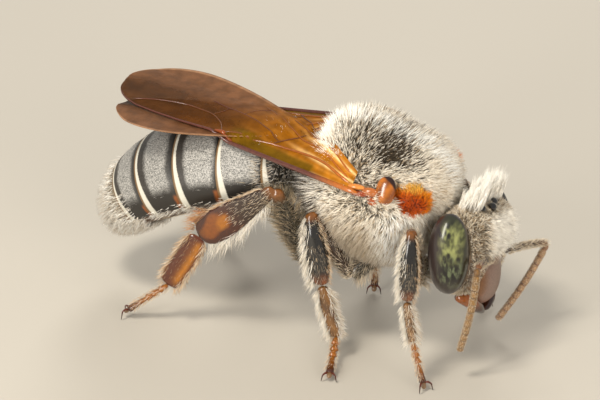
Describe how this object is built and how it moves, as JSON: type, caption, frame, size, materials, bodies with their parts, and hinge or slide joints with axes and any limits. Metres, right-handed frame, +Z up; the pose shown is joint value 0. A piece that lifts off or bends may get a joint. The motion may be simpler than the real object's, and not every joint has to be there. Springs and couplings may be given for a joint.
{
  "type": "stingless bee",
  "caption": "Ash-grey stingless bee worker standing on six legs, wings folded over a banded abdomen, as a still life-size display model.",
  "frame": {"origin": "centre of the bee's box on the floor under its feet", "axes": "+X forward along the body to the head, +Y to the bee's left, +Z up"},
  "size_m": [0.0124, 0.0068, 0.0063],
  "materials": {
    "cream_hair": "dense cream hair over dark thorax plates",
    "white_hair": "short white hair over the head",
    "orange_hair": "orange hair tuft",
    "grey_plate": "dark plates with ash-grey down and ivory rims",
    "face_plate": "smooth grey-pink face plate",
    "amber_plate": "glossy amber shell",
    "amber_leg": "glossy amber-red foot joints",
    "dark_leg": "glossy dark brown leg shell with pale hair",
    "green_eye": "mottled green faceted eye",
    "black_eye": "glossy black simple eye",
    "brown_antenna": "fine-haired brown feeler",
    "smoky_wing": "clear amber membrane, smoky at the tip"
  },
  "bodies": {
    "root": {"basitarsus_fore_L": "dark_leg", "basitarsus_fore_R": "dark_leg", "basitarsus_hind_L": "dark_leg", "basitarsus_hind_R": "dark_leg", "basitarsus_mid_L": "dark_leg", "basitarsus_mid_R": "dark_leg", "clypeus": "face_plate", "coxa_fore_L": "dark_leg", "coxa_fore_R": "dark_leg", "coxa_hind_L": "dark_leg", "coxa_hind_R": "dark_leg", "coxa_mid_L": "dark_leg", "coxa_mid_R": "dark_leg", "eye_L": "green_eye", "eye_R": "green_eye", "femur_fore_L": "dark_leg", "femur_fore_R": "dark_leg", "femur_hind_L": "dark_leg", "femur_hind_R": "dark_leg", "femur_mid_L": "dark_leg", "femur_mid_R": "dark_leg", "flagellum_L": "brown_antenna", "flagellum_R": "brown_antenna", "forewing_L": "smoky_wing", "forewing_R": "smoky_wing", "head": "white_hair", "hindwing_L": "smoky_wing", "hindwing_R": "smoky_wing", "lobe_L": "orange_hair", "lobe_R": "orange_hair", "mandible_L": "amber_plate", "mandible_R": "amber_plate", "ocellus_L": "black_eye", "ocellus_M": "black_eye", "ocellus_R": "black_eye", "propodeum": "cream_hair", "scape_L": "brown_antenna", "scape_R": "brown_antenna", "scutellum": "cream_hair", "tarsus_fore_L": "amber_leg", "tarsus_fore_R": "amber_leg", "tarsus_hind_L": "amber_leg", "tarsus_hind_R": "amber_leg", "tarsus_mid_L": "amber_leg", "tarsus_mid_R": "amber_leg", "tegula_L": "amber_plate", "tegula_R": "amber_plate", "tergite_1": "grey_plate", "tergite_2": "grey_plate", "tergite_3": "grey_plate", "tergite_4": "grey_plate", "tergite_5": "grey_plate", "tergite_6": "grey_plate", "thorax": "cream_hair", "tibia_fore_L": "dark_leg", "tibia_fore_R": "dark_leg", "tibia_hind_L": "dark_leg", "tibia_hind_R": "dark_leg", "tibia_mid_L": "dark_leg", "tibia_mid_R": "dark_leg"}
  },
  "joints": []
}
